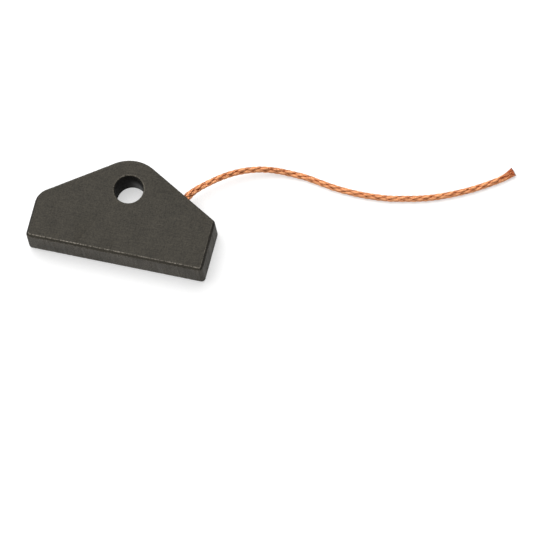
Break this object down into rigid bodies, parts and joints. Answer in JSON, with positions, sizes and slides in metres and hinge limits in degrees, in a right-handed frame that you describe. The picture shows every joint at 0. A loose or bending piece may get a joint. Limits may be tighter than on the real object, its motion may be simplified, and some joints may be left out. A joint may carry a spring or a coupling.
{
  "type": "carbon brush",
  "caption": "House-shaped carbon contact plate with bevelled edges, a pivot hole in its rounded lug and a stranded copper lead tamped into one slanted edge.",
  "frame": {"origin": "under the middle of the carbon plate's box, on the lower face that the plate lies on", "axes": "+X along the straight contact face, towards the end with the lead; -Y the way the contact face looks; +Z through the plate's thickness, up from the table"},
  "size_m": [0.1006, 0.04, 0.007],
  "materials": {
    "carbon": "matte",
    "tamped_powder": "matte",
    "copper": "satin"
  },
  "bodies": {
    "root": {"carbon_block": "carbon", "tamping_plug": "tamped_powder", "copper_lead": "copper"}
  },
  "joints": []
}
